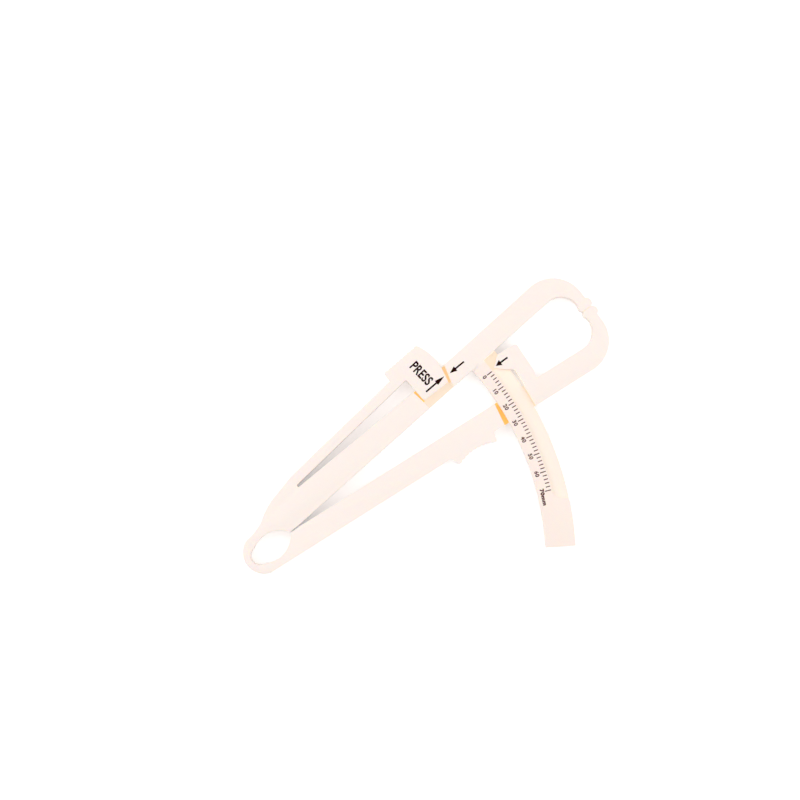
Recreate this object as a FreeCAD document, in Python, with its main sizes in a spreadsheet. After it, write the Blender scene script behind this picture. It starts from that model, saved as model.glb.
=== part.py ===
import FreeCAD, Part

import math
import os

import Sketcher

# A skinfold caliper moulded in plastic: two arms in one piece with the spring
# loop that hinges them, a PRESS lever on a leaf spring, and a scale arc that
# snaps into one arm and runs through a channel in the other.
#
# Frame: the origin is the hinge axis, on the flat back (z = 0). +X runs along
# the closed caliper to the jaws, +Y to the side of the scale arm and its press
# lever, +Z out of the printed face. All sizes are in millimetres.

SIZES = {
    # whole mouldings
    "thickness": 7.0,
    "root_overlap": 2.0,
    "overrun": 1.0,
    # jaws, the same on both arms
    "tip_reach": 163.45,
    "foot_face": 3.1,
    "foot_round": 1.95,
    "foot_height": 3.0,
    "foot_turn": 52.0,
    "neck_inset": 1.95,
    "neck_thickness": 4.15,
    "neck_rise": 0.85,
    "throat_radius": 7.4,
    "bow_wall": 8.95,
    "bow_radius": 13.3,
    # spring loop round the hinge axis, and the lips where the arms part
    "web_thickness": 2.6,
    "loop_split": 4.5,
    "loop_middle": 0.9,
    "loop_half": 3.5,
    "loop_wall": 4.4,
    "hollow_radius": 11.0,
    "lip_reach": 19.6,
    "lip_length": 4.4,
    "scale_mouth": 1.15,
    "pointer_mouth": 0.65,
    "nape_reach": 13.0,
    "nape_half": 10.9,
    "nape_radius": 22.0,
    "shoulder_reach": 25.0,
    "shoulder_half": 16.0,
    "shoulder_radius": 30.0,
    # press lever: its leaf and its tab
    "lever_root": 33.0,
    "root_half": 12.9,
    "root_rise": 0.27,
    "lever_gap": 1.0,
    "leaf_width": 4.1,
    "leaf_length": 52.2,
    "leaf_rise": 6.05,
    "tab_lead": 6.5,
    "tab_lean": 0.7,
    "tab_width": 12.2,
    "tab_depth": 8.15,
    "tab_corner": 1.0,
    "tab_flare": 1.3,
    "tab_back_radius": 24.0,
    "pad_inset": 2.7,
    "pad_height": 4.55,
    "pad_step": 0.6,
    "pad_fall": 1.0,
    "pad_rib_rise": 0.39,
    "rib_pitch": 1.9,
    # recess across the scale arm for the tab, and the play round the tab
    "recess_floor": 1.7,
    "recess_back_half": 15.15,
    "recess_front_half": 16.4,
    "recess_back_slant": 0.16,
    "recess_front_slant": 0.265,
    "back_play": 1.3,
    "front_play": 2.6,
    "under_play": 0.5,
    "side_play": 1.2,
    "relief_wall": 0.6,
    # scale arc, its track and its tongue
    "scale_gap": 7.6,
    "scale_width": 11.6,
    "scale_tail": 7.7,
    "seat_height": 0.7,
    "track_width": 5.8,
    "track_depth": 2.0,
    "track_lead": 10.0,
    "stop_inside": 24.25,
    "stop_outside": 26.2,
    "tongue_inset": 1.5,
    "tongue_length": 8.3,
    "tongue_lift": 0.2,
    "tongue_cover": 0.3,
    "tongue_play": 0.05,
    "barb_width": 1.2,
    "barb_proud": 0.4,
    "barb_height": 0.85,
    # channel for the scale arc in the pointer arm, its flag and its stem
    "channel_floor": 2.4,
    "channel_start": 2.0,
    "channel_sweep": 10.5,
    "channel_play_under": 0.4,
    "channel_play_inside": 0.6,
    "channel_flare": 1.6,
    "channel_play_outside": 0.6,
    "flag_play": 0.3,
    "flag_tip_inset": 1.2,
    "flag_tip_half": 3.7,
    "flag_heel_inset": 0.4,
    "flag_heel_half": 0.8,
    "flag_nose_inset": 1.0,
    "flag_root": 1.9,
    "flag_corner": 1.2,
    "stem_inset": 0.15,
    "stem_start": 0.8,
    "stem_start_half": 1.6,
    "stem_width": 6.4,
    "stem_height": 6.15,
    "stem_slope": 0.12,
    "stem_bend": 6.3,
    "stem_taper": 0.65,
    "stem_toe": 1.5,
    # thumb rest on the pointer arm
    "rest_gap": 7.5,
    "rest_length": 17.2,
    "rest_spur": 3.2,
    "rest_lean": 1.2,
    "rest_depth": 1.9,
    "rest_rib_rise": 0.6,
}

doc = FreeCAD.newDocument("skinfold_caliper")
sheet = doc.addObject("Spreadsheet::Sheet", "Sizes")
for row, (alias, number) in enumerate(SIZES.items(), start=1):
    sheet.set(f"A{row}", alias)
    sheet.set(f"B{row}", str(number))
    sheet.setAlias(f"B{row}", alias)
doc.recompute()


class Size:
    """A length or number together with the sheet expression that gives it."""

    def __init__(self, number, text):
        self.number = number
        self.text = text

    def join(self, other, sign, number):
        other_text = other.text if isinstance(other, Size) else repr(float(other))
        return Size(number, f"({self.text} {sign} {other_text})")

    def __add__(self, other):
        return self.join(other, "+", self.number + plain(other))

    def __sub__(self, other):
        return self.join(other, "-", self.number - plain(other))

    def __mul__(self, other):
        return self.join(other, "*", self.number * plain(other))

    def __truediv__(self, other):
        return self.join(other, "/", self.number / plain(other))

    def __neg__(self):
        return Size(-self.number, f"(0 - {self.text})")


def plain(value):
    return value.number if isinstance(value, Size) else float(value)


def size(alias):
    return Size(float(sheet.get(alias)), f"Sizes.{alias}")


def sine(angle):
    return Size(math.sin(math.radians(angle.number)), f"sin({angle.text})")


def cosine(angle):
    return Size(math.cos(math.radians(angle.number)), f"cos({angle.text})")


def root(value):
    return Size(math.sqrt(value.number), f"sqrt({value.text})")


def slope_angle(rise, run):
    angle = math.degrees(math.atan2(rise.number, run.number))
    return Size(angle, f"(atan2({rise.text}; {run.text}) / 1deg)")


def polar(radius, angle):
    return (radius * cosine(angle), radius * sine(angle))


def tangent_angle(start, centre, radius):
    """Direction, in degrees, of the line from start that grazes the circle's left."""
    run, rise = centre[0] - start[0], centre[1] - start[1]
    graze = radius / root(run * run + rise * rise)
    spread = math.degrees(math.asin(graze.number))
    towards = slope_angle(rise, run)
    return towards + Size(spread, f"(asin({graze.text}) / 1deg)")


def grazed(centre, radius, angle):
    """Where the line in that direction touches the circle's left."""
    return (centre[0] - radius * sine(angle), centre[1] + radius * cosine(angle))


def on_line(start, angle, radius):
    """Where the line from start reaches that radius about the hinge axis."""
    offset = start[1] * cosine(angle) - start[0] * sine(angle)
    ratio = offset / radius
    spread = math.degrees(math.asin(ratio.number))
    return polar(radius, angle + Size(spread, f"(asin({ratio.text}) / 1deg)"))


def along(start, angle, reach):
    """The point at that reach on the line from start."""
    return (reach, start[1] + (reach - start[0]) * sine(angle) / cosine(angle))


def rise_radius(half, rise):
    """Radius of the arc over a chord of that half length, rising that far."""
    return (half * half + rise * rise) / (rise * 2)


def flipped(points):
    """The same outline on the other side of the X axis."""
    result = []
    for point in points:
        x, y, *arc = point
        result.append((x, -y, *[(radius, -bulge) for radius, bulge in arc]))
    return result


def arc_between(first, second, radius, bulge):
    """A short arc that bulges to the left (1) or right (-1) of the way on."""
    start = FreeCAD.Vector(first[0].number, first[1].number, 0)
    end = FreeCAD.Vector(second[0].number, second[1].number, 0)
    along = end - start
    left = FreeCAD.Vector(-along.y, along.x, 0).normalize()
    rise = math.sqrt(max(radius.number**2 - along.Length**2 / 4, 0))
    centre = (start + end) * 0.5 - left * (bulge * rise)
    if bulge > 0:
        start, end = end, start
    from_angle = math.atan2(start.y - centre.y, start.x - centre.x)
    to_angle = math.atan2(end.y - centre.y, end.x - centre.x)
    if to_angle < from_angle:
        to_angle += 2 * math.pi
    circle = Part.Circle(centre, FreeCAD.Vector(0, 0, 1), radius.number)
    return Part.ArcOfCircle(circle, from_angle, to_angle)


def sketch_outline(body, name, height, points):
    """A closed sketch whose corners and radii follow the sheet."""
    plane = next(f for f in body.Origin.OriginFeatures if f.Role == "XY_Plane")
    sketch = body.newObject("Sketcher::SketchObject", name)
    sketch.AttachmentSupport = (plane, [""])
    sketch.MapMode = "FlatFace"
    sketch.setExpression("AttachmentOffset.Base.z", height.text)
    ends = []
    for this, following in zip(points, points[1:] + points[:1]):
        if len(this) == 3:
            radius, bulge = this[2]
            geometry = sketch.addGeometry(arc_between(this, following, radius, bulge))
            ends.append((geometry, 2, 1) if bulge > 0 else (geometry, 1, 2))
        else:
            start = FreeCAD.Vector(this[0].number, this[1].number, 0)
            end = FreeCAD.Vector(following[0].number, following[1].number, 0)
            ends.append((sketch.addGeometry(Part.LineSegment(start, end)), 1, 2))
    rules = []
    formulas = []
    for index, (this, following) in enumerate(zip(ends, ends[1:] + ends[:1])):
        rules.append(Sketcher.Constraint("Coincident", this[0], this[2], following[0], following[1]))
    for index, (point, end) in enumerate(zip(points, ends)):
        for axis, value in zip("XY", point[:2]):
            formulas.append((len(rules), f"{axis.lower()}{index}", value.text))
            rules.append(Sketcher.Constraint(f"Distance{axis}", -1, 1, end[0], end[1], value.number))
        if len(point) == 3:
            formulas.append((len(rules), f"r{index}", point[2][0].text))
            rules.append(Sketcher.Constraint("Radius", end[0], point[2][0].number))
    sketch.addConstraint(rules)
    for index, name, text in formulas:
        sketch.renameConstraint(index, name)
        sketch.setExpression(f"Constraints.{name}", text)
    sketch.recompute()
    return sketch


def new_body(label):
    body = doc.addObject("PartDesign::Body", label)
    body.Label = label
    return body


def pad(body, name, floor, top, points):
    """Adds material between two heights."""
    feature = body.newObject("PartDesign::Pad", name)
    feature.Profile = sketch_outline(body, f"{name}_outline", floor, points)
    feature.setExpression("Length", (top - floor).text)
    doc.recompute()
    return feature


def pocket(body, name, floor, top, points):
    """Cuts down from top to floor, and makes sure that something was cut."""
    before = body.Shape.Volume
    feature = body.newObject("PartDesign::Pocket", name)
    feature.Profile = sketch_outline(body, f"{name}_outline", top, points)
    feature.setExpression("Length", (top - floor).text)
    doc.recompute()
    if body.Shape.Volume > before - 0.01:
        raise RuntimeError(f"{name} cuts nothing")
    return feature


def ribbed(first, last, depth, rise, bulge):
    """Ribs side by side from first to just before last, along a hollow of that depth."""
    run, fall = last[0] - first[0], last[1] - first[1]
    length = root(run * run + fall * fall)
    count = max(1, round(plain(length) / plain(size("rib_pitch"))))
    steepest = depth * 4 / length
    widest = length / count * root(steepest * steepest + 1) / 2
    points = []
    for index in range(count):
        share = index / count
        hollow = depth * (4 * share * (1 - share)) / length
        x = first[0] + run * share - fall * hollow
        y = first[1] + fall * share + run * hollow
        points.append((x, y, (rise_radius(widest, rise), bulge)))
    return points


ZERO = Size(0.0, "0")
TOP = size("thickness")


# Stations along the caliper. The tab sits in its recess with play all round,
# the scale arc stands off the recess, and the channel and the thumb rest of the
# other arm follow the arc.

mouth_reach = size("lip_reach") + size("lip_length")
leaf_end = size("lever_root") + size("leaf_length")
tab_edge = leaf_end + size("tab_lead")
tab_far = tab_edge + size("tab_width")
recess_start = tab_edge - size("back_play")
recess_finish = tab_far + size("front_play")
scale_inside = recess_finish + size("scale_gap")
scale_outside = scale_inside + size("scale_width")
track_inside = scale_outside - size("track_width")
channel_inside = scale_inside - size("channel_play_inside")
channel_outside = scale_outside + size("channel_play_outside")
track_floor = TOP - size("track_depth")
scale_floor = size("channel_floor") + size("channel_play_under")


# Jaw: from the end of the arm's inner edge, round the throat, the foot and the
# bow, to the start of the arm's outer edge, for the arm above the X axis.

neck_inside = size("tip_reach") - size("neck_inset")
neck_outside = neck_inside + size("neck_thickness")
throat_centre = (
    neck_inside - size("throat_radius"),
    size("foot_height") + size("neck_rise"),
)
bow_half = throat_centre[1] + size("throat_radius") + size("bow_wall")
bow_centre = (neck_outside - size("bow_radius"), bow_half - size("bow_radius"))


def inner_angle(mouth):
    """Direction of the arm's inner edge, from its mouth to the throat."""
    return tangent_angle(mouth, throat_centre, size("throat_radius"))


def outer_angle(waist):
    """Direction of the arm's outer edge, from its waist to the bow."""
    return tangent_angle(waist, bow_centre, size("bow_radius"))


def jaw(mouth, waist):
    half_face = size("foot_face") / 2
    toe = size("foot_round")
    inner_foot = (size("tip_reach") - half_face, ZERO)
    outer_foot = (size("tip_reach") + half_face, ZERO)
    toe_end = (
        outer_foot[0] + toe * cosine(size("foot_turn")),
        toe + toe * sine(size("foot_turn")),
    )
    toe_run = toe_end[0] - neck_outside
    neck_foot = toe_end[1] + toe_run * cosine(size("foot_turn")) / sine(size("foot_turn"))
    throat_start = grazed(throat_centre, size("throat_radius"), inner_angle(mouth))
    bow_end = grazed(bow_centre, size("bow_radius"), outer_angle(waist))
    return [
        (*throat_start, (size("throat_radius"), 1)),
        (neck_inside, throat_centre[1]),
        (neck_inside, size("foot_height"), (toe, -1)),
        inner_foot,
        (*outer_foot, (toe, -1)),
        toe_end,
        (neck_outside, neck_foot),
        (neck_outside, bow_centre[1], (size("bow_radius"), -1)),
        bow_end,
        waist,
    ]


# Scale arm: jaw, arm with the recess for the tab, half of the spring loop and
# the root of the press lever.

scale_mouth = (mouth_reach, size("scale_mouth"))
scale_angle = inner_angle(scale_mouth)
loop_top = size("loop_middle") + size("loop_half")
loop_bottom = size("loop_middle") - size("loop_half")


def lowered(point, depth):
    """The point moved out of the scale arm's inner edge by that depth."""
    return (point[0] + depth * sine(scale_angle), point[1] - depth * cosine(scale_angle))


seat_inside = on_line(scale_mouth, scale_angle, scale_inside)
seat_outside = on_line(scale_mouth, scale_angle, scale_outside)
seam_inside = lowered(seat_inside, size("seat_height"))
seam_outside = lowered(seat_outside, size("seat_height"))

leaf_inner_root = (size("lever_root"), size("root_half") + size("lever_gap"))
leaf_outer_root = (size("lever_root"), leaf_inner_root[1] + size("leaf_width"))
leaf_inner_end = (leaf_end, leaf_inner_root[1] + size("leaf_rise"))
leaf_outer_end = (leaf_end, leaf_outer_root[1] + size("leaf_rise"))

root_round = rise_radius(size("lever_gap") / 2, size("root_rise"))

recess_back = (recess_start, size("recess_back_half"))
recess_front = (recess_finish, size("recess_front_half"))

scale_arm = new_body("scale_arm")
arm_start = (size("loop_split"), loop_top)
arm_nape = (size("loop_split"), loop_top + size("loop_wall"))
outline = [
    (*arm_start, (size("hollow_radius"), 1)),
    (size("lip_reach"), size("scale_mouth")),
    scale_mouth,
    seat_inside,
    seam_inside,
    seam_outside,
    seat_outside,
    *jaw(scale_mouth, recess_front),
    recess_back,
    (size("lever_root"), size("root_half"), (root_round, 1)),
    leaf_inner_root,
    leaf_outer_root,
    (size("shoulder_reach"), size("shoulder_half"), (size("shoulder_radius"), -1)),
    (size("nape_reach"), size("nape_half"), (size("nape_radius"), 1)),
    arm_nape,
]
pad(scale_arm, "scale_arm_blank", ZERO, TOP, outline)

recess_low = along(scale_mouth, scale_angle, recess_start)[1] - size("overrun")
recess_high = recess_front[1] + size("overrun")
back_slant = size("recess_back_slant")
front_slant = size("recess_front_slant")
pocket(
    scale_arm,
    "tab_recess",
    size("recess_floor"),
    TOP,
    [
        (recess_start + (recess_back[1] - recess_low) * back_slant, recess_low),
        (recess_finish - (recess_front[1] - recess_low) * front_slant, recess_low),
        (recess_finish + size("overrun") * front_slant, recess_high),
        (recess_start - (recess_high - recess_back[1]) * back_slant, recess_high),
    ],
)

track_start = on_line(scale_mouth, scale_angle, track_inside)
over_seat = size("seat_height") + size("overrun")
track_edge = lowered(track_start, over_seat)
beyond = on_line(scale_mouth, scale_angle, scale_outside + size("overrun"))
pocket(
    scale_arm,
    "track_start",
    track_floor,
    TOP,
    [track_start, track_edge, lowered(beyond, over_seat), beyond],
)

# The scale's tongue goes right through a slot in the arm.

tongue_bottom = scale_floor + size("tongue_lift")
tongue_top = track_floor - size("tongue_cover")


def across_arm(first_radius, last_radius, start, end):
    """A rectangle across the scale arm, between two heights over its inner edge."""
    first = on_line(scale_mouth, scale_angle, first_radius)
    last = on_line(scale_mouth, scale_angle, last_radius)
    return [lowered(first, -start), lowered(last, -start), lowered(last, -end), lowered(first, -end)]


tongue_first = scale_inside + size("tongue_inset")
tongue_last = scale_outside - size("tongue_inset")
tongue_root = ZERO - over_seat
slot_end = size("tongue_length") + size("overrun") * 2
play = size("tongue_play")
pocket(
    scale_arm,
    "tongue_slot",
    tongue_bottom - play,
    tongue_top + play,
    across_arm(tongue_first - play, tongue_last + play, tongue_root, slot_end),
)

barb_start = size("tongue_length") - size("barb_height")
barb_side = size("barb_proud") + play
pocket(
    scale_arm,
    "barb_seats",
    tongue_bottom - play,
    tongue_top + play,
    across_arm(tongue_first - barb_side, tongue_last + barb_side, barb_start - play, slot_end),
)


# Press lever: the leaf bends, the tab and its pad are rigid.

press_leaf = new_body("press_leaf")
leaf_outline = [leaf_inner_root, leaf_inner_end, leaf_outer_end, leaf_outer_root]
pad(press_leaf, "leaf_blank", ZERO, TOP, leaf_outline)

press_tab = new_body("press_tab")
leaf_slope = size("leaf_rise") / size("leaf_length")
corner = size("tab_corner")
tab_side = tab_edge - size("tab_lean")
tab_side_top = leaf_inner_end[1] + (tab_side - leaf_end) * leaf_slope
relief_high = recess_front[1] + size("side_play")
tab_shoulder = (tab_far + size("tab_flare"), relief_high + size("relief_wall"))
tab_inner = tab_shoulder[1] - size("tab_depth")
pad_start = (tab_shoulder[0] - size("pad_inset"), leaf_outer_end[1] + size("pad_height"))
pad_stop = (leaf_end + size("pad_step"), pad_start[1] - size("pad_fall"))
pad_foot = (pad_stop[0], leaf_outer_end[1] + size("pad_step") * leaf_slope)
outline = [
    leaf_inner_end,
    (tab_side, tab_side_top),
    (tab_edge, tab_inner + corner, (corner, -1)),
    (tab_edge + corner, tab_inner),
    (tab_far - corner, tab_inner, (corner, -1)),
    (tab_far, tab_inner + corner),
    (*tab_shoulder, (size("tab_back_radius"), -1)),
    *ribbed(pad_start, pad_stop, ZERO, size("pad_rib_rise"), -1),
    pad_stop,
    pad_foot,
    leaf_outer_end,
]
pad(press_tab, "tab_blank", ZERO, TOP, outline)
relief_low = tab_inner - size("overrun")
relief_first = tab_edge - size("overrun")
relief_last = tab_shoulder[0] + size("overrun")
pocket(
    press_tab,
    "tab_relief",
    ZERO,
    size("recess_floor") + size("under_play"),
    [
        (relief_first, relief_low),
        (relief_last, relief_low),
        (relief_last, relief_high),
        (relief_first, relief_high),
    ],
)


# Web of the spring loop: the thin back of the loop, which bends as the jaws open.

hinge_loop = new_body("hinge_loop")
inner_rise = size("loop_split") - size("web_thickness") / 2
outer_rise = size("loop_split") + size("web_thickness") / 2
loop_outer_half = size("loop_half") + size("loop_wall")
web_top = (size("loop_split"), loop_top + size("loop_wall"))
web_bottom = (size("loop_split"), loop_bottom - size("loop_wall"))
outline = [
    (size("loop_split"), loop_top),
    (*web_top, (rise_radius(loop_outer_half, outer_rise), -1)),
    web_bottom,
    (size("loop_split"), loop_bottom, (rise_radius(size("loop_half"), inner_rise), 1)),
]
pad(hinge_loop, "web_blank", ZERO, TOP, outline)


# Pointer arm: jaw, stem of the pointer flag, thumb rest, the other half of the
# spring loop, and the channel that the scale arc runs through.

pointer_arm = new_body("pointer_arm")
mirrored_mouth = (mouth_reach, ZERO - size("pointer_mouth"))
mirrored_nape = (size("loop_split"), size("loop_wall") - loop_bottom)
pointer_angle = inner_angle(mirrored_mouth)
pointer_back_angle = outer_angle(mirrored_nape)


def on_pointer_edge(reach):
    """The point of the pointer arm's inner edge at that reach."""
    return flipped([along(mirrored_mouth, pointer_angle, reach)])[0]


def on_pointer_back(reach):
    """The point of the pointer arm's outer edge at that reach."""
    return flipped([along(mirrored_nape, pointer_back_angle, reach)])[0]


def lifted(point, height):
    return (point[0], point[1] + height)


pointer_start = (size("loop_split"), loop_bottom)
outline = [
    (*pointer_start, (size("hollow_radius"), -1)),
    (size("lip_reach"), size("pointer_mouth")),
    *flipped([mirrored_mouth, *jaw(mirrored_mouth, mirrored_nape)]),
]
pad(pointer_arm, "pointer_blank", ZERO, TOP, outline)

# The stem stands off the channel and carries the flag.

flag_corner = size("flag_corner")
stem_inside = channel_outside + size("stem_inset")
stem_start = channel_outside + size("stem_start")
stem_back = stem_start + size("stem_width")
stem_waist = stem_back - size("stem_taper")
stem_foot = stem_back - size("stem_toe")
stem_bend = stem_back - flag_corner
buried = ZERO - size("root_overlap")


def stem_top(reach):
    return size("stem_height") + (stem_back - reach) * size("stem_slope")


outline = [
    on_pointer_edge(stem_inside),
    (stem_start, ZERO - size("stem_start_half")),
    (stem_start, stem_top(stem_start)),
    (stem_bend, stem_top(stem_bend), (flag_corner, 1)),
    (stem_back, stem_top(stem_back) - flag_corner),
    (stem_waist, ZERO - size("stem_bend")),
    on_pointer_edge(stem_foot),
    lifted(on_pointer_edge(stem_foot), buried),
    lifted(on_pointer_edge(stem_inside), buried),
]
pad(pointer_arm, "flag_stem", ZERO, TOP, outline)

rest_foot = channel_inside - size("rest_gap")
rest_front = rest_foot - size("rest_lean")
rest_back = rest_front - size("rest_length")
rest_heel = rest_back - size("rest_lean")
spur = ZERO - size("rest_spur")
front_spur = lifted(on_pointer_back(rest_foot), spur)
back_spur = lifted(on_pointer_back(rest_back), spur)
ribs = ribbed(
    (rest_front, front_spur[1]),
    back_spur,
    ZERO - size("rest_depth"),
    size("rest_rib_rise"),
    1,
)
outline = [
    *ribs,
    back_spur,
    on_pointer_back(rest_heel),
    lifted(on_pointer_back(rest_heel + size("root_overlap")), size("root_overlap")),
    lifted(on_pointer_back(rest_foot - size("root_overlap")), size("root_overlap")),
    on_pointer_back(rest_foot),
]
pad(pointer_arm, "thumb_rest", ZERO, TOP, outline)

# The scale arc runs through the channel, under the thin flag. The channel's
# outer wall follows the arc, and its inner wall is straight.

channel_first = ZERO - size("channel_sweep")
channel_last = ZERO - size("channel_start")
pocket(
    pointer_arm,
    "channel",
    size("channel_floor"),
    TOP,
    [
        polar(channel_inside, channel_last),
        polar(channel_inside - size("channel_flare"), channel_first),
        (*polar(channel_outside, channel_first), (channel_outside, -1)),
        polar(channel_outside, channel_last),
    ],
)
flag_heel = channel_outside - size("flag_heel_inset")
flag_nose = channel_outside - size("flag_nose_inset")
flag_root = stem_start + size("flag_root")
pad(
    pointer_arm,
    "flag",
    track_floor + size("flag_play"),
    TOP,
    [
        (track_inside + size("flag_tip_inset"), size("flag_tip_half")),
        (flag_heel, ZERO - size("flag_heel_half")),
        (stem_start, ZERO - size("stem_start_half")),
        (flag_root, ZERO - size("stem_start_half")),
        (flag_root, stem_top(flag_root) - flag_corner),
        (flag_root - flag_corner, stem_top(flag_root)),
        (flag_nose, stem_top(flag_nose)),
    ],
)


# Scale arc: the arc, its track for the flag, and the tongue with its snap barbs.

scale_arc = new_body("scale_arc")
sweep = ZERO - size("stop_outside") - size("scale_tail")
outline = [
    seam_inside,
    (*seam_outside, (scale_outside, 1)),
    polar(scale_outside, sweep),
    (*polar(scale_inside, sweep), (scale_inside, -1)),
]
pad(scale_arc, "arc_blank", scale_floor, TOP, outline)

track_outside = scale_outside + size("overrun") * 2
pocket(
    scale_arc,
    "track",
    track_floor,
    TOP,
    [
        (*polar(track_inside, size("track_lead")), (track_inside, 1)),
        polar(track_inside, ZERO - size("stop_inside")),
        (*polar(track_outside, ZERO - size("stop_outside")), (track_outside, -1)),
        polar(track_outside, size("track_lead")),
    ],
)
pad(
    scale_arc,
    "tongue",
    tongue_bottom,
    tongue_top,
    across_arm(tongue_first, tongue_last, tongue_root, size("tongue_length")),
)
sides = {
    "barb_inside": (tongue_first - size("barb_proud"), tongue_first + size("barb_width")),
    "barb_outside": (tongue_last - size("barb_width"), tongue_last + size("barb_proud")),
}
for name, (near, far) in sides.items():
    pad(
        scale_arc,
        name,
        tongue_bottom,
        tongue_top,
        across_arm(near, far, barb_start, size("tongue_length")),
    )


# Every feature must have worked, and every solid must be sound.

doc.recompute()
bodies = [scale_arm, pointer_arm, hinge_loop, press_leaf, press_tab, scale_arc]
for item in doc.Objects:
    if "Invalid" in item.State or "Error" in item.State:
        raise RuntimeError(f"{item.Name}: {item.State}")
for body in bodies:
    if body.Shape.isNull() or not body.Shape.isValid():
        raise RuntimeError(f"{body.Label} is not a sound solid")
    if len(body.Shape.Solids) != 1:
        raise RuntimeError(f"{body.Label} has {len(body.Shape.Solids)} solids")

os.makedirs("parts", exist_ok=True)
for body in bodies:
    body.Shape.exportStep(f"parts/{body.Label}.step")
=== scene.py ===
import math

import bmesh
import bpy
from bpy.props import (
    FloatProperty, FloatVectorProperty, IntProperty, PointerProperty, StringProperty,
)
from mathutils import Matrix, Vector


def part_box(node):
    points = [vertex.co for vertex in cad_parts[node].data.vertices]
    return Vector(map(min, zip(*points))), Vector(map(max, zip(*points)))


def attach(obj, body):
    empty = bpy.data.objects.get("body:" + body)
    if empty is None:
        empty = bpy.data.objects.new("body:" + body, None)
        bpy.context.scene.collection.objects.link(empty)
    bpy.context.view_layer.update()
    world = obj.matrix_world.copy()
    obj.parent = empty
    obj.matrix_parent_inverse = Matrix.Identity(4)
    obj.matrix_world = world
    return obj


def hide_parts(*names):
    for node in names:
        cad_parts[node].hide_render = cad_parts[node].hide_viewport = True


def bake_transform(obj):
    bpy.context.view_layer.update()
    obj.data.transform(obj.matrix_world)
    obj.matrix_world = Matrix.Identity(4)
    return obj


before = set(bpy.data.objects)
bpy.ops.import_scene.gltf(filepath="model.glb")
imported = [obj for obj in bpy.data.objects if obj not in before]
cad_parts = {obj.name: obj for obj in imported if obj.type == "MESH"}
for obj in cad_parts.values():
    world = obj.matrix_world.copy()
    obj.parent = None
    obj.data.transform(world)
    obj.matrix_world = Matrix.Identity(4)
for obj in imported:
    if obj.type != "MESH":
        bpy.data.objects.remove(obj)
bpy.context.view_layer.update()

bl_info = {
    "name": "Skinfold Caliper",
    "version": (1, 0, 0),
    "blender": (4, 5, 0),
    "location": "View3D > Sidebar > Caliper",
    "description": "Moulded skinfold caliper with a printed scale and a press lever",
    "category": "Object",
}

MM = 0.001
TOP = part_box("scale_arm")[1].z

# Where the solids meet

LOOP_END = 4.5 * MM
LEAF_ROOT = 33.0 * MM
LEAF_END = 85.2 * MM
ARC_SEAM = ((113.86 * MM, 7.44 * MM), (119.65 * MM, 7.89 * MM))
SEAM_PLAY = 0.03 * MM

# Places that get a painted glow, standing in for light that they catch or let through

RIM = 0.7 * MM
RECESS = (89.0 * MM, 107.5 * MM)
BACK_SLOT = 91.9 * MM
FRONT_SLOT = 103.8 * MM
SLOT_SPAN = (9.6 * MM, 15.4 * MM)
WEDGE = (118.0 * MM, 127.0 * MM)
WEDGE_TOP = 11.5 * MM
FLOOR_PLAY = 0.1 * MM
FLAG_TIP = 3.0 * MM
FLAG_EDGE = ((121.3 * MM, 2.75 * MM), (125.6 * MM, -0.55 * MM))
CHANNEL = (110.0 * MM, 129.0 * MM)
CHANNEL_MIDDLE = 118.0 * MM
ARM_EDGE = -7.0 * MM
GAP = (120.5 * MM, 127.3 * MM)
TRACK = (119.0 * MM, 125.3 * MM)
TRACK_FLOOR = 5.0 * MM
TIP_START = 158.0 * MM
TIP_RIM = 0.32 * MM

# Ways a face can look, as limits of its normal

FLAT = 0.8
STEEP = 0.7
RIM_SLOPE = (0.2, 0.98)

# Order of the plastics, after the plain one, on the arms and on the scale; all but the plain one
# carry painted light

FLOOR, SLOT, FAR_SLOT, GAP_WALL, PALE_PAINTED_GLOW, SOFT_WALL = range(1, 7)
ARC_TRACK, ARC_WEDGE, ARC_WALL = range(1, 4)

# Rounding and shading

MERGE_PLAY = 0.002 * MM
PLANE_ANGLE = math.radians(0.6)
RIM_ANGLE = math.radians(28)
RIM_SEGMENTS = 3
CREASE_ANGLE = math.radians(35)
CUT_PLAY = 1e-7
LEAF_STEPS = 30

# Plastic and ink

SATIN = {
    "Roughness": 0.38,
    "IOR": 1.49,
    "Subsurface Weight": 0.2,
    "Subsurface Radius": (1.0, 0.55, 0.2),
    "Subsurface Scale": 0.5 * MM,
}
GRAIN_SCALE = 2200.0
GRAIN_DETAIL = 2.0
GRAIN_STRENGTH = 0.04
GRAIN_DEPTH = 0.05 * MM
# The strengths of the painted glows below stand in for light through thin plastic or caught in
# slots and gaps
FLOOR_LIGHT = 0.64
SLOT_LIGHT = 0.55
FAR_LIGHT = 0.4
PALE_LIGHT = 0.63
GAP_LIGHT = 0.36
SOFT_LIGHT = 0.12
INK_ROUGHNESS = 0.6
INK_SHINE = 0.04

# Printed marks. An arrow has its body, its tail and tip, and the base and width of its head, in
# millimetres.

INK_SINK = 0.01 * MM
LETTER_DEPTH = 0.5
LETTER_PLAY = 1e-5
NUMERAL_STEP = 10
NUMERAL_WEIGHT = 0.035
END_WEIGHT = 0.06
NUMERAL_SPACING = 1.12
WORD_WEIGHT = 0.028
WORD_SPACING = 1.05
WORD_CENTRE = (97.4 * MM, 19.05 * MM)
ARROW_SHAFT = 0.66
ARROWS = {
    "tab_arrow": ("press_tab", (94.45, 12.3), (103.7, 12.8), 5.3, 2.0),
    "arm_arrow": ("scale_arm", (113.2, 12.7), (106.2, 12.46), 4.2, 2.2),
    "flag_arrow": ("pointer_arm", (127.6, 3.77), (122.0, 3.87), 3.3, 2.4),
}

# Stage

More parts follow.
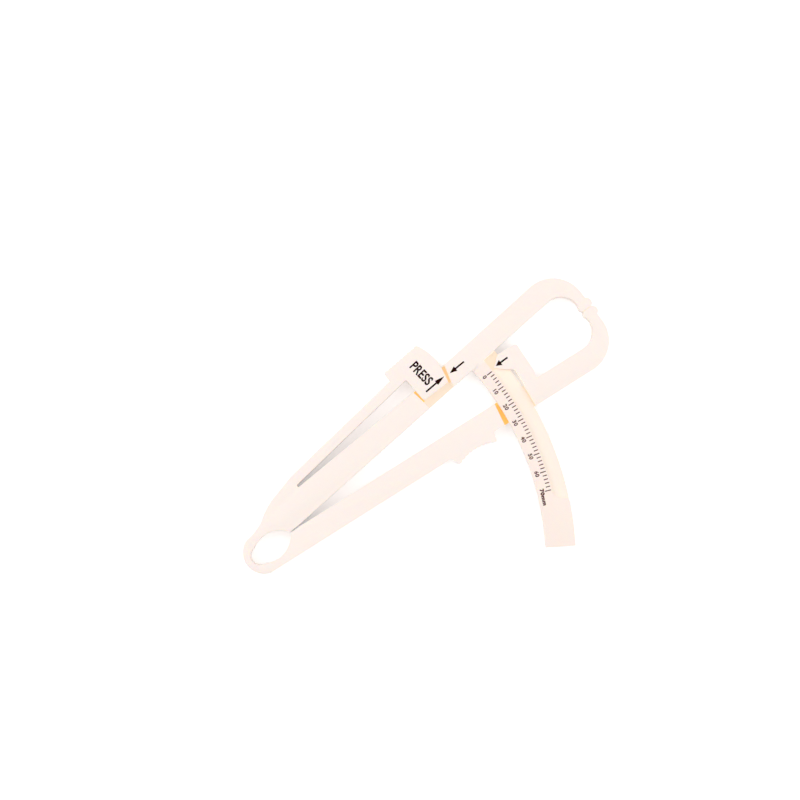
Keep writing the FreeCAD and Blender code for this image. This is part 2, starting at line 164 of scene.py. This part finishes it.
WHITE = (1.0, 1.0, 1.0, 1.0)
FLOOR_REACH = 3.0
FLOOR_PLACE = (0.08, 0, -0.05 * MM)
FLOOR_ROUGHNESS = 0.9
FLOOR_LEVEL = 0.36
BACKDROP_LEVEL = 0.755
LAMPS = {
    "key_lamp": ((-0.35, 0.75, 1.1), 4.4),
    "fill_lamp": ((0.75, -0.35, 0.9), 2.6),
}
LAMP_WIDTH = 0.9
LAMP_AIM = (0.085, 0.0, 0.0)
VIEW_TURN = math.radians(37.34)
VIEW_TILT = math.radians(1.5)
VIEW_MIDDLE = (84.5 * MM, 15.9 * MM, TOP)
VIEW_DISTANCE = 1.0
VIEW_WIDTH = 309.76 * MM
SENSOR_WIDTH = 36.0
CLIP_START = 0.01


# Settings that a user would change

class CaliperSizes(bpy.types.PropertyGroup):
    """Sizes of the roundings and of the printed marks"""

    rim_round: FloatProperty(
        name="Rim rounding", description="Radius of the moulded rims",
        default=0.45 * MM, min=0.0, unit="LENGTH",
    )
    ink_height: FloatProperty(
        name="Ink height", description="How far the ink stands over the plastic",
        default=0.025 * MM, min=0.0, unit="LENGTH",
    )
    tip_reach: FloatProperty(
        name="Tip reach",
        description="From the hinge axis to the jaw tips, which sets the tick angles",
        default=163.45 * MM, unit="LENGTH",
    )
    zero_angle: FloatProperty(
        name="Zero angle", description="Where the 0 tick stands about the hinge axis",
        default=math.radians(1.49), subtype="ANGLE",
    )
    tick_reach: FloatProperty(
        name="Tick reach", description="Radius at the outer ends of the ticks",
        default=119.57 * MM, unit="LENGTH",
    )
    short_tick: FloatProperty(
        name="Short tick", description="Length of the ticks between the tens",
        default=1.66 * MM, unit="LENGTH",
    )
    long_tick: FloatProperty(
        name="Long tick", description="Length of the ticks at the tens",
        default=2.36 * MM, unit="LENGTH",
    )
    tick_width: FloatProperty(
        name="Tick width", description="Width of each tick",
        default=0.365 * MM, unit="LENGTH",
    )
    tick_step: IntProperty(
        name="Tick step", description="Millimetres of jaw opening from tick to tick",
        default=2, min=1,
    )
    scale_end: IntProperty(
        name="Scale end", description="Highest reading of the scale in millimetres",
        default=70, min=10,
    )
    numeral_reach: FloatProperty(
        name="Numeral reach", description="Radius at the middle of the numerals",
        default=116.0 * MM, unit="LENGTH",
    )
    numeral_height: FloatProperty(
        name="Numeral height", description="Height of the numerals",
        default=1.65 * MM, unit="LENGTH",
    )
    end_length: FloatProperty(
        name="End length", description="Length of the last numeral with its unit",
        default=6.5 * MM, unit="LENGTH",
    )
    end_shift: FloatProperty(
        name="End shift", description="How far the last numeral stands past its tick",
        default=math.radians(1.0), subtype="ANGLE",
    )
    word_height: FloatProperty(
        name="Word height", description="Height of the letters on the tab",
        default=3.95 * MM, unit="LENGTH",
    )
    word_length: FloatProperty(
        name="Word length", description="Length of the word on the tab",
        default=9.95 * MM, unit="LENGTH",
    )
    word_lean: FloatProperty(
        name="Word lean", description="How far the word turns off the line across the caliper",
        default=math.radians(6), subtype="ANGLE",
    )
    tab_word: StringProperty(
        name="Tab word", description="Word on the tab that says what to do with it",
        default="PRESS",
    )


class CaliperColours(bpy.types.PropertyGroup):
    """Colours of the plastic, the ink and the stage, and of the painted light on the plastic"""

    ivory: FloatVectorProperty(
        name="Ivory plastic", description="Colour of the arms and the lever",
        default=(0.985, 0.864, 0.803), subtype="COLOR", min=0.0, max=1.0,
    )
    scale_ivory: FloatVectorProperty(
        name="Scale plastic", description="Colour of the scale, which is a little pinker",
        default=(0.985, 0.838, 0.764), subtype="COLOR", min=0.0, max=1.0,
    )
    # Painted light: the track is made lighter and yellower than the scale in place of light coming
    # through it
    track_ivory: FloatVectorProperty(
        name="Track plastic", description="Colour of the thin track, which is a little yellower",
        default=(0.985, 0.862, 0.762), subtype="COLOR", min=0.0, max=1.0,
    )
    # Painted light: the dimmed plastic under the painted glows, kept dark so that the glow evens
    # out their shade
    thin_ivory: FloatVectorProperty(
        name="Thin ivory", description="Colour of the plastic where it is thin and lets light go",
        default=(0.36, 0.27, 0.21), subtype="COLOR", min=0.0, max=1.0,
    )
    # Painted glow in the recess floor, in place of light coming through it
    floor_glow: FloatVectorProperty(
        name="Floor glow", description="Light that comes through the thin floor of the recess",
        default=(1.0, 0.87, 0.70), subtype="COLOR", min=0.0, max=1.0,
    )
    # Painted glow on the walls beside the scale, the recess and the track, which lifts their shade
    gap_glow: FloatVectorProperty(
        name="Gap glow", description="Light between the scale and the walls beside it",
        default=(1.0, 0.92, 0.76), subtype="COLOR", min=0.0, max=1.0,
    )
    # Painted glow, and base colour, of the channel floor and the slot behind the tab, in place of
    # light caught there
    slot_glow: FloatVectorProperty(
        name="Slot glow", description="Light caught in the slot behind the tab and in the channel",
        default=(0.96, 0.50, 0.12), subtype="COLOR", min=0.0, max=1.0,
    )
    # Painted glow, and base colour, of the slot in front of the tab and one tip's rim
    far_glow: FloatVectorProperty(
        name="Far glow", description="Light caught in the slot in front of the tab",
        default=(0.82, 0.575, 0.31), subtype="COLOR", min=0.0, max=1.0,
    )
    # Painted glow at the start of the track, the far side of the channel and some rims
    pale_glow: FloatVectorProperty(
        name="Pale glow", description="Light caught at the start of the track and past the scale",
        default=(1.0, 0.87, 0.66), subtype="COLOR", min=0.0, max=1.0,
    )
    black_ink: FloatVectorProperty(
        name="Black ink", description="Ink of the arrows and the word",
        default=(0.017, 0.0015, 0.0006), subtype="COLOR", min=0.0, max=1.0,
    )
    brown_ink: FloatVectorProperty(
        name="Brown ink", description="Thinner ink of the ticks and numerals",
        default=(0.12, 0.040, 0.038), subtype="COLOR", min=0.0, max=1.0,
    )
    floor: FloatVectorProperty(
        name="Floor", description="Colour of the floor",
        default=(0.9, 0.9, 0.9), subtype="COLOR", min=0.0, max=1.0,
    )


def sizes():
    return bpy.context.scene.caliper_sizes


def colours():
    return bpy.context.scene.caliper_colours


# Materials

def new_material(name):
    """Makes a material and returns it with its nodes, or returns the one that has the name.

    Materials named ivory_plastic and scale_plastic are already taken, so none here is named so.
    """
    material = bpy.data.materials.get(name)
    if material:
        return material, None
    material = bpy.data.materials.new(name)
    material.use_nodes = True
    return material, material.node_tree


def moulded_plastic(name, surface, glow=None, strength=0.0):
    """Satin plastic with a faint moulded grain and, when a glow is given, a painted glow that
    stands in for light let through.
    """
    material, tree = new_material(name)
    if tree is None:
        return material
    shader = tree.nodes["Principled BSDF"]
    shader.inputs["Base Color"].default_value = (*surface, 1.0)
    for socket, value in SATIN.items():
        shader.inputs[socket].default_value = value
    if glow is not None:
        shader.inputs["Emission Color"].default_value = (*glow, 1.0)
        shader.inputs["Emission Strength"].default_value = strength
    place = tree.nodes.new("ShaderNodeTexCoord")
    grain = tree.nodes.new("ShaderNodeTexNoise")
    grain.inputs["Scale"].default_value = GRAIN_SCALE
    grain.inputs["Detail"].default_value = GRAIN_DETAIL
    bump = tree.nodes.new("ShaderNodeBump")
    bump.inputs["Strength"].default_value = GRAIN_STRENGTH
    bump.inputs["Distance"].default_value = GRAIN_DEPTH
    link = tree.links.new
    link(place.outputs["Object"], grain.inputs["Vector"])
    link(grain.outputs["Fac"], bump.inputs["Height"])
    link(bump.outputs["Normal"], shader.inputs["Normal"])
    return material


def ivory_plastic():
    """The plain plastic of the arms, the web and the lever."""
    return moulded_plastic("satin_ivory", colours().ivory)


def scale_plastic():
    """The plain plastic of the scale."""
    return moulded_plastic("satin_scale", colours().scale_ivory)


def track_plastic():
    """The thin floor of the scale's track, lighter and yellower than the scale to paint in light
    coming through it.
    """
    return moulded_plastic("track_plastic", colours().track_ivory)


def cavity_floor():
    """The thin floor of the recess: dimmed plastic with a painted warm glow for light coming
    through, which lifts its shade.
    """
    return moulded_plastic("cavity_floor", colours().thin_ivory, colours().floor_glow, FLOOR_LIGHT)


def slot_plastic():
    """The floors of the channel and of the slot behind the tab: orange plastic with a painted
    orange glow for light caught there.
    """
    return moulded_plastic("slot_plastic", colours().slot_glow, colours().slot_glow, SLOT_LIGHT)


def far_slot():
    """The floor in front of the tab and one tip's rim, with a weaker painted glow for less of the
    caught light.
    """
    return moulded_plastic("far_slot", colours().far_glow, colours().far_glow, FAR_LIGHT)


def pale_floor():
    """The start of the track, the far side of the channel and some rims: dimmed plastic with a
    painted pale yellow glow for light coming through.
    """
    return moulded_plastic("pale_floor", colours().thin_ivory, colours().pale_glow, PALE_LIGHT)


def gap_wall():
    """The walls that look at the scale from beside it, with a painted pale glow that lifts their
    shade.
    """
    return moulded_plastic("gap_wall", colours().ivory, colours().gap_glow, GAP_LIGHT)


def soft_wall():
    """The walls of the recess and of the track, with a faint painted glow that lifts their shade.
    """
    return moulded_plastic("soft_wall", colours().ivory, colours().gap_glow, SOFT_LIGHT)


def ink(name, colour):
    """Matt printing ink."""
    material, tree = new_material(name)
    if tree is None:
        return material
    shader = tree.nodes["Principled BSDF"]
    shader.inputs["Base Color"].default_value = (*colour, 1.0)
    shader.inputs["Roughness"].default_value = INK_ROUGHNESS
    shader.inputs["Specular IOR Level"].default_value = INK_SHINE
    return material


def black_ink():
    return ink("black_ink", colours().black_ink)


def brown_ink():
    return ink("brown_ink", colours().brown_ink)


def white_floor():
    """A matt floor with a glow that only the camera and reflections see."""
    material, tree = new_material("white_floor")
    if tree is None:
        return material
    shader = tree.nodes["Principled BSDF"]
    shader.inputs["Base Color"].default_value = (*colours().floor, 1.0)
    shader.inputs["Roughness"].default_value = FLOOR_ROUGHNESS
    output = tree.nodes["Material Output"]
    path = tree.nodes.new("ShaderNodeLightPath")
    seen = tree.nodes.new("ShaderNodeMath")
    seen.operation = "MAXIMUM"
    glow = tree.nodes.new("ShaderNodeEmission")
    glow.inputs["Color"].default_value = WHITE
    level = tree.nodes.new("ShaderNodeMath")
    level.operation = "MULTIPLY"
    level.inputs[1].default_value = FLOOR_LEVEL
    both = tree.nodes.new("ShaderNodeAddShader")
    link = tree.links.new
    link(path.outputs["Is Camera Ray"], seen.inputs[0])
    link(path.outputs["Is Glossy Ray"], seen.inputs[1])
    link(seen.outputs["Value"], level.inputs[0])
    link(level.outputs["Value"], glow.inputs["Strength"])
    link(shader.outputs["BSDF"], both.inputs[0])
    link(glow.outputs["Emission"], both.inputs[1])
    link(both.outputs["Shader"], output.inputs["Surface"])
    return material


# Tools for making pieces

def finish_piece(name, shape, *materials):
    """Makes an object at the origin from a filled bmesh."""
    mesh = bpy.data.meshes.new(name)
    shape.to_mesh(mesh)
    shape.free()
    for material in materials:
        mesh.materials.append(material)
    piece = bpy.data.objects.new(name, mesh)
    bpy.context.scene.collection.objects.link(piece)
    return piece


def moulding(node, *seams):
    """A merged copy of a CAD node with its rims rounded, but for the edges on a seam."""
    shape = bmesh.new()
    shape.from_mesh(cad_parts[node].data)
    bmesh.ops.remove_doubles(shape, verts=shape.verts, dist=MERGE_PLAY)
    bmesh.ops.dissolve_limit(
        shape, angle_limit=PLANE_ANGLE, verts=shape.verts, edges=shape.edges
    )

    def on_seam(edge):
        return any(all(holds(v.co) for v in edge.verts) for holds in seams)

    rims = [
        e for e in shape.edges
        if len(e.link_faces) == 2 and e.calc_face_angle(0.0) > RIM_ANGLE and not on_seam(e)
    ]
    bmesh.ops.bevel(
        shape, geom=rims, offset=sizes().rim_round, offset_type="OFFSET", affect="EDGES",
        segments=RIM_SEGMENTS, profile=0.5, clamp_overlap=True, material=-1,
    )
    for face in shape.faces:
        face.smooth = True
    return shape


def cross_cut(shape, *stations, axis=0):
    """Cuts the faces at each reach along an axis, and keeps both sides."""
    normal = Vector((0, 0, 0))
    normal[axis] = 1
    for reach in stations:
        everything = [*shape.verts, *shape.edges, *shape.faces]
        bmesh.ops.bisect_plane(
            shape, geom=everything, dist=CUT_PLAY, plane_co=normal * reach, plane_no=normal
        )


def line_faces(shape, *linings):
    """Gives each place, or its faces that look one way, a plastic of its own. Later ones win."""
    for holds, facing, plastic in linings:
        for face in shape.faces:
            if holds(face.calc_center_median()) and (facing is None or facing(face.normal)):
                face.material_index = plastic


def shade_by_angle(piece):
    """Smooth shading that keeps the creases."""
    for edge in piece.data.edges:
        edge.use_edge_sharp = False
    piece.data.set_sharp_from_angle(angle=CREASE_ANGLE)


def plate(outline):
    """A thin flat plate of ink over a closed outline on the printed face."""
    shape = bmesh.new()
    corners = [shape.verts.new((x, y, TOP - INK_SINK)) for x, y in outline]
    face = shape.faces.new(corners)
    raised = bmesh.ops.extrude_face_region(shape, geom=[face])
    lifted = [v for v in raised["geom"] if isinstance(v, bmesh.types.BMVert)]
    rise = sizes().ink_height + INK_SINK
    bmesh.ops.translate(shape, vec=(0, 0, rise), verts=lifted)
    bmesh.ops.recalc_face_normals(shape, faces=shape.faces)
    return shape


def gathered(parts):
    """One bmesh from several."""
    whole = bmesh.new()
    for part in parts:
        step = bpy.data.meshes.new("step")
        part.to_mesh(step)
        part.free()
        whole.from_mesh(step)
        bpy.data.meshes.remove(step)
    return whole


def bar(inner, outer, width):
    """A straight bar of ink between two points."""
    along = (outer - inner).normalized()
    side = Vector((-along.y, along.x)) * (width / 2)
    return plate([inner - side, outer - side, outer + side, inner + side])


def arrow(tail, tip, head_base, head_width):
    """A plain arrow of ink: a shaft, and a head whose base is head_base along the way."""
    tail, tip = Vector(tail) * MM, Vector(tip) * MM
    along = (tip - tail).normalized()
    side = Vector((-along.y, along.x))
    neck = tail + along * (head_base * MM)
    shaft, head = side * (ARROW_SHAFT * MM / 2), side * (head_width * MM / 2)
    return plate([
        tail - shaft, neck - shaft, neck - head, tip, neck + head, neck + shaft, tail + shaft,
    ])


def words(text, centre, right, height, length, weight, spacing):
    """Letters of ink, centred on a point of the printed face, reading to the right given."""
    curve = bpy.data.curves.new("letters", "FONT")
    curve.body = text
    curve.align_x = "CENTER"
    curve.extrude = LETTER_DEPTH
    curve.bevel_depth = weight
    curve.bevel_resolution = 0
    curve.space_character = spacing
    letters = bpy.data.objects.new("letters", curve)
    bpy.context.scene.collection.objects.link(letters)
    bpy.context.view_layer.update()
    mesh = bpy.data.meshes.new_from_object(letters)
    bpy.data.objects.remove(letters)
    bpy.data.curves.remove(curve)
    shape = bmesh.new()
    shape.from_mesh(mesh)
    bpy.data.meshes.remove(mesh)
    bmesh.ops.remove_doubles(shape, verts=shape.verts, dist=LETTER_PLAY)
    low = Vector([min(v.co[i] for v in shape.verts) for i in range(3)])
    high = Vector([max(v.co[i] for v in shape.verts) for i in range(3)])
    span = high - low
    tall = height / span.y
    wide = length / span.x if length else tall
    thick = sizes().ink_height + INK_SINK
    bmesh.ops.translate(shape, vec=-(low + high) / 2, verts=shape.verts)
    bmesh.ops.scale(shape, vec=(wide, tall, thick / span.z), verts=shape.verts)
    right = Vector((*right, 0)).normalized()
    up = Vector((-right.y, right.x, 0))
    turn = Matrix((right, up, (0, 0, 1))).transposed()
    bmesh.ops.rotate(shape, cent=(0, 0, 0), matrix=turn, verts=shape.verts)
    place = Vector((*centre, TOP - INK_SINK + thick / 2))
    bmesh.ops.translate(shape, vec=place, verts=shape.verts)
    return shape


def tick_angle(reading):
    """Angle about the hinge axis at which the jaws stand that far apart."""
    return sizes().zero_angle - 2 * math.asin(reading * MM / 2 / sizes().tip_reach)


def round_point(radius, angle):
    return Vector((radius * math.cos(angle), radius * math.sin(angle)))


# Seams

def loop_seam(point):
    """Where the web of the loop ends at the arms."""
    return abs(point.x - LOOP_END) < SEAM_PLAY


def root_seam(point):
    """Where the leaf starts at the arm."""
    return abs(point.x - LEAF_ROOT) < SEAM_PLAY


def leaf_seam(point):
    """Where the leaf ends at the tab."""
    return abs(point.x - LEAF_END) < SEAM_PLAY


def beside_line(point, ends, play):
    """Whether a point lies within some play of a line across the printed face."""
    first, last = (Vector(end) for end in ends)
    along = (last - first).normalized()
    offset = point.xy - first
    inside = -play < offset.dot(along) < (last - first).length + play
    return inside and abs(offset.cross(along)) < play


def arc_seam(point):
    """Where the top of the scale arc is flush with the arm."""
    return beside_line(point, ARC_SEAM, SEAM_PLAY)


# Places

def in_recess(point):
    """The recess for the tab, below its rims."""
    return RECESS[0] < point.x < RECESS[1] and point.z < TOP - RIM


def in_slot(point):
    """The stretch across the arm where the slots beside the tab catch light, below the rims."""
    return SLOT_SPAN[0] < point.y < SLOT_SPAN[1] and point.z < TOP - RIM


def in_back_slot(point):
    """The slot behind the tab."""
    return RECESS[0] < point.x < BACK_SLOT and in_slot(point)


def in_front_slot(point):
    """The slot in front of the tab."""
    return FRONT_SLOT < point.x < RECESS[1] and in_slot(point)


def in_wedge(point):
    """The start of the track, between the arm's edge and the tip of the flag."""
    inside = WEDGE[0] < point.x < WEDGE[1] and FLAG_TIP < point.y < WEDGE_TOP
    return inside and TRACK_FLOOR - FLOOR_PLAY < point.z < TOP - FLOOR_PLAY


def in_track(point):
    """The floor of the scale's track and the walls beside it, below their rims."""
    inside = TRACK[0] < Vector((point.x, point.y)).length < TRACK[1]
    return inside and TRACK_FLOOR - FLOOR_PLAY < point.z < TOP - RIM


def in_channel(point):
    """The channel that the scale runs through, below its rims."""
    return CHANNEL[0] < point.x < CHANNEL[1] and point.y < ARM_EDGE and point.z < TOP - RIM


def in_far_channel(point):
    """The half of the channel that is further from the hinge."""
    return in_channel(point) and point.x > CHANNEL_MIDDLE


def in_gap(point):
    """The walls of the stem and the flag that look at the scale."""
    return GAP[0] < point.x < GAP[1] and ARM_EDGE <= point.y < FLAG_TIP and point.z < TOP - RIM


def in_tip_gap(point):
    """The rims of the jaw tips along the line where they meet."""
    return point.x > TIP_START and abs(point.y) < TIP_RIM


def in_flag_edge(point):
    """The rim of the flag along the side that looks at the scale."""
    return beside_line(point, FLAG_EDGE, RIM) and point.z > TOP - RIM


# Ways a face can look

def upward(normal):
    return normal.z > FLAT


def sideways(normal):
    return abs(normal.z) < FLAT


def to_hinge(normal):
    return sideways(normal) and normal.x < -STEEP


def on_rim(normal):
    """The slope of a rounded rim of the printed face."""
    return RIM_SLOPE[0] < normal.z < RIM_SLOPE[1]


# Pieces

class CALIPER_OT_arms(bpy.types.Operator):
    """Rigid arms with their jaws"""

    bl_idname = "caliper.arms"
    bl_label = "Arms"

    def execute(self, context):
        scale_side = moulding("scale_arm", loop_seam, root_seam, arc_seam)
        cross_cut(scale_side, BACK_SLOT, FRONT_SLOT, *WEDGE)
        cross_cut(scale_side, SLOT_SPAN[0], axis=1)
        # Painted glow: the recess, its walls, the slots beside the tab, the start of the track and
        # the tip rims get plastics whose glow stands in for light through thin plastic and lifts
        # their shade
        line_faces(
            scale_side,
            (in_recess, upward, FLOOR),
            (in_recess, sideways, SOFT_WALL),
            (in_recess, to_hinge, PALE_PAINTED_GLOW),
            (in_front_slot, upward, FAR_SLOT),
            (in_back_slot, upward, SLOT),
            (in_wedge, upward, PALE_PAINTED_GLOW),
            (in_wedge, sideways, GAP_WALL),
            (in_tip_gap, on_rim, PALE_PAINTED_GLOW),
        )
        pointer_side = moulding("pointer_arm", loop_seam)
        cross_cut(pointer_side, CHANNEL_MIDDLE)
        # Painted glow: the channel, its wall to the hinge, the walls beside the scale, the tip
        # rims and the flag's rim get plastics whose glow stands in for light caught there and
        # lifts their shade
        line_faces(
            pointer_side,
            (in_channel, upward, SLOT),
            (in_far_channel, upward, PALE_PAINTED_GLOW),
            (in_channel, to_hinge, PALE_PAINTED_GLOW),
            (in_gap, None, GAP_WALL),
            (in_tip_gap, on_rim, FAR_SLOT),
            (in_flag_edge, on_rim, PALE_PAINTED_GLOW),
        )
        plastics = (
            ivory_plastic(), cavity_floor(), slot_plastic(), far_slot(), gap_wall(), pale_floor(),
            soft_wall(),
        )
        for node, shape in (("scale_arm", scale_side), ("pointer_arm", pointer_side)):
            piece = finish_piece(f"{node}_moulding", shape, *plastics)
            shade_by_angle(piece)
            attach(piece, node)
            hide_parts(node)
        return {"FINISHED"}


class CALIPER_OT_tab(bpy.types.Operator):
    """Tab and thumb pad of the press lever"""

    bl_idname = "caliper.tab"
    bl_label = "Press tab"

    def execute(self, context):
        shape = moulding("press_tab", leaf_seam)
        piece = finish_piece("press_tab_moulding", shape, ivory_plastic())
        shade_by_angle(piece)
        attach(piece, "press_tab")
        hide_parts("press_tab")
        return {"FINISHED"}


class CALIPER_OT_web(bpy.types.Operator):
    """Bending web at the back of the spring loop"""

    bl_idname = "caliper.web"
    bl_label = "Hinge web"

    def execute(self, context):
        piece = finish_piece("hinge_web", moulding("hinge_loop", loop_seam), ivory_plastic())
        shade_by_angle(piece)
        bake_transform(piece)
        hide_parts("hinge_loop")
        return {"FINISHED"}


class CALIPER_OT_leaf(bpy.types.Operator):
    """Bending leaf of the press lever"""

    bl_idname = "caliper.leaf"
    bl_label = "Press leaf"

    def execute(self, context):
        shape = moulding("press_leaf", root_seam, leaf_seam)
        length = LEAF_END - LEAF_ROOT
        stations = (LEAF_ROOT + length * step / LEAF_STEPS for step in range(1, LEAF_STEPS))
        cross_cut(shape, *stations)
        piece = finish_piece("press_lever_leaf", shape, ivory_plastic())
        shade_by_angle(piece)
        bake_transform(piece)
        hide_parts("press_leaf")
        return {"FINISHED"}


class CALIPER_OT_scale(bpy.types.Operator):
    """Curved scale that snaps into the scale arm"""

    bl_idname = "caliper.scale"
    bl_label = "Scale arc"

    def execute(self, context):
        shape = moulding("scale_arc", arc_seam)
        cross_cut(shape, FLAG_TIP, axis=1)
        # Painted light: the track gets a lighter, yellower copy of the scale plastic, and its
        # start and walls get a painted glow, in place of light through the thin floor
        line_faces(
            shape,
            (in_track, None, ARC_TRACK),
            (in_wedge, None, ARC_WEDGE),
            (in_track, sideways, ARC_WALL),
        )
        plastics = (scale_plastic(), track_plastic(), pale_floor(), soft_wall())
        piece = finish_piece("scale_arc_moulding", shape, *plastics)
        shade_by_angle(piece)
        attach(piece, "scale_arm")
        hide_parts("scale_arc")
        return {"FINISHED"}


class CALIPER_OT_ticks(bpy.types.Operator):
    """Printed ticks, one for every other millimetre of jaw opening"""

    bl_idname = "caliper.ticks"
    bl_label = "Scale ticks"

    def execute(self, context):
        s = sizes()
        bars = []
        for reading in range(0, s.scale_end + 1, s.tick_step):
            angle = tick_angle(reading)
            length = s.long_tick if reading % NUMERAL_STEP == 0 else s.short_tick
            inner = round_point(s.tick_reach - length, angle)
            bars.append(bar(inner, round_point(s.tick_reach, angle), s.tick_width))
        piece = finish_piece("scale_ticks", gathered(bars), brown_ink())
        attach(piece, "scale_arm")
        return {"FINISHED"}


class CALIPER_OT_numerals(bpy.types.Operator):
    """Printed numerals, one for every ten millimetres of jaw opening"""

    bl_idname = "caliper.numerals"
    bl_label = "Scale numerals"

    def execute(self, context):
        s = sizes()
        for reading in range(0, s.scale_end + 1, NUMERAL_STEP):
            angle = tick_angle(reading)
            text, length, weight = str(reading), None, NUMERAL_WEIGHT
            if reading == s.scale_end:
                text, length, weight = f"{reading}mm", s.end_length, END_WEIGHT
                angle -= s.end_shift
            centre = round_point(s.numeral_reach, angle)
            right = (math.sin(angle), -math.cos(angle))
            letters = words(text, centre, right, s.numeral_height, length, weight, NUMERAL_SPACING)
            piece = finish_piece(f"numeral_{reading}", letters, brown_ink())
            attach(piece, "scale_arm")
        return {"FINISHED"}


class CALIPER_OT_arrows(bpy.types.Operator):
    """Printed arrows on the tab, the arm and the flag"""

    bl_idname = "caliper.arrows"
    bl_label = "Arrows"

    def execute(self, context):
        for name, (body, tail, tip, head_base, head_width) in ARROWS.items():
            piece = finish_piece(name, arrow(tail, tip, head_base, head_width), black_ink())
            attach(piece, body)
        return {"FINISHED"}


class CALIPER_OT_word(bpy.types.Operator):
    """Printed word on the tab"""

    bl_idname = "caliper.word"
    bl_label = "Tab word"

    def execute(self, context):
        s = sizes()
        right = (math.sin(s.word_lean), -math.cos(s.word_lean))
        letters = words(
            s.tab_word, WORD_CENTRE, right, s.word_height, s.word_length, WORD_WEIGHT, WORD_SPACING
        )
        piece = finish_piece("tab_word", letters, black_ink())
        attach(piece, "press_tab")
        return {"FINISHED"}


class CALIPER_OT_stage(bpy.types.Operator):
    """Floor, lamps, surroundings and camera"""

    bl_idname = "caliper.stage"
    bl_label = "Stage"

    def execute(self, context):
        make_floor()
        make_lamps()
        make_camera()
        context.scene.view_settings.view_transform = "Standard"
        return {"FINISHED"}


def make_floor():
    """A plain floor just under the flat back of the caliper."""
    shape = bmesh.new()
    bmesh.ops.create_grid(shape, x_segments=1, y_segments=1, size=FLOOR_REACH)
    bmesh.ops.translate(shape, vec=FLOOR_PLACE, verts=shape.verts)
    floor = finish_piece("floor", shape, white_floor())


def make_lamps():
    """Two soft lamps in white surroundings."""
    scene = bpy.context.scene
    world = bpy.data.worlds.new("studio")
    world.use_nodes = True
    backdrop = world.node_tree.nodes["Background"]
    backdrop.inputs["Color"].default_value = WHITE
    backdrop.inputs["Strength"].default_value = BACKDROP_LEVEL
    scene.world = world
    for name, (place, power) in LAMPS.items():
        lamp = bpy.data.lights.new(name, "AREA")
        lamp.energy = power
        lamp.size = LAMP_WIDTH
        holder = bpy.data.objects.new(name, lamp)
        holder.location = place
        holder.rotation_mode = "QUATERNION"
        aim = Vector(LAMP_AIM) - Vector(place)
        holder.rotation_quaternion = aim.to_track_quat("-Z", "Y")
        scene.collection.objects.link(holder)


def make_camera():
    """Nearly square on to the printed face, turned in its own plane."""
    right = Vector((math.cos(VIEW_TURN), -math.sin(VIEW_TURN), 0))
    up = Vector((math.sin(VIEW_TURN), math.cos(VIEW_TURN), 0))
    view = bpy.data.cameras.new("camera")
    view.sensor_width = SENSOR_WIDTH
    view.lens = SENSOR_WIDTH * VIEW_DISTANCE / VIEW_WIDTH
    view.clip_start = CLIP_START
    holder = bpy.data.objects.new("camera", view)
    back = (Vector((0, 0, 1)) * math.cos(VIEW_TILT) - up * math.sin(VIEW_TILT)).normalized()
    top = back.cross(right)
    turned = Matrix((right, top, back)).transposed().to_4x4()
    place = Matrix.Translation(Vector(VIEW_MIDDLE) + back * VIEW_DISTANCE)
    holder.matrix_world = place @ turned
    bpy.context.scene.collection.objects.link(holder)
    bpy.context.scene.camera = holder


# Sidebar

OPERATORS = (
    CALIPER_OT_arms,
    CALIPER_OT_tab,
    CALIPER_OT_web,
    CALIPER_OT_leaf,
    CALIPER_OT_scale,
    CALIPER_OT_ticks,
    CALIPER_OT_numerals,
    CALIPER_OT_arrows,
    CALIPER_OT_word,
    CALIPER_OT_stage,
)


class CALIPER_PT_panel(bpy.types.Panel):
    """Lists the steps that make the caliper"""

    bl_idname = "CALIPER_PT_panel"
    bl_label = "Caliper"
    bl_space_type = "VIEW_3D"
    bl_region_type = "UI"
    bl_category = "Caliper"

    def draw(self, context):
        for operator in OPERATORS:
            self.layout.operator(operator.bl_idname)
        for settings in (context.scene.caliper_sizes, context.scene.caliper_colours):
            for name in settings.__annotations__:
                self.layout.prop(settings, name)


CLASSES = (CaliperSizes, CaliperColours, *OPERATORS, CALIPER_PT_panel)


def register():
    for cls in CLASSES:
        bpy.utils.register_class(cls)
    bpy.types.Scene.caliper_sizes = PointerProperty(type=CaliperSizes)
    bpy.types.Scene.caliper_colours = PointerProperty(type=CaliperColours)


def unregister():
    del bpy.types.Scene.caliper_colours
    del bpy.types.Scene.caliper_sizes
    for cls in reversed(CLASSES):
        bpy.utils.unregister_class(cls)


def main():
    register()
    for operator in OPERATORS:
        group, name = operator.bl_idname.split(".")
        getattr(getattr(bpy.ops, group), name)()
    bpy.context.view_layer.update()


if __name__ == "__main__":
    main()
